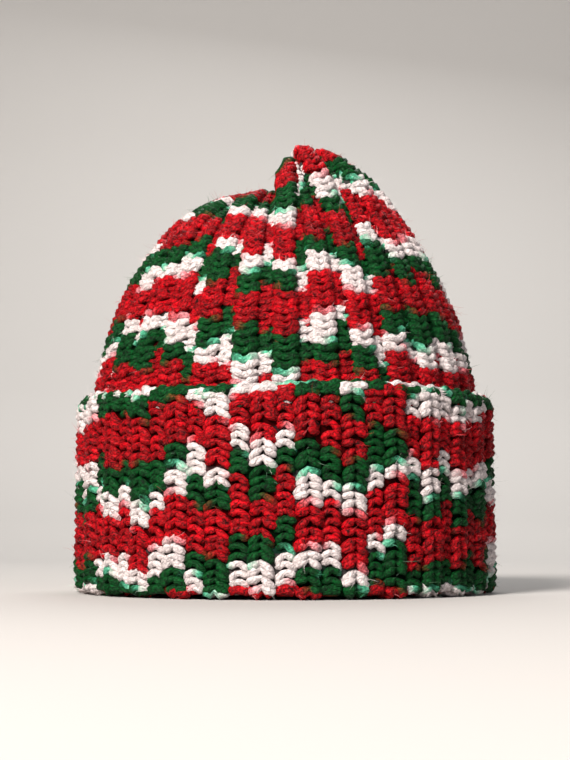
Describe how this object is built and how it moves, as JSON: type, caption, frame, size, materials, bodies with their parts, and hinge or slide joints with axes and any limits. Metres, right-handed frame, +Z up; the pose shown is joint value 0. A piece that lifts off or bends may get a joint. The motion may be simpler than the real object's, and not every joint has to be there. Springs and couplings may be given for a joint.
{
  "type": "crochet beanie",
  "caption": "Ribbed crochet beanie in red, green and white space-dyed yarn, with a deep turned-up cuff and a gathered top, standing open side down on its rim.",
  "frame": {"origin": "on the surface the hat stands on, under the middle of its box", "axes": "+Z up to the gathered top, the front of the hat towards -Y, the wearer's left towards +X"},
  "size_m": [0.196, 0.215, 0.2099],
  "materials": {
    "space_dyed_yarn": "soft spun acrylic yarn, dyed red, green and white by turns"
  },
  "bodies": {
    "root": {"crown": "space_dyed_yarn", "cuff": "space_dyed_yarn", "closing_yarn": "space_dyed_yarn"}
  },
  "joints": []
}
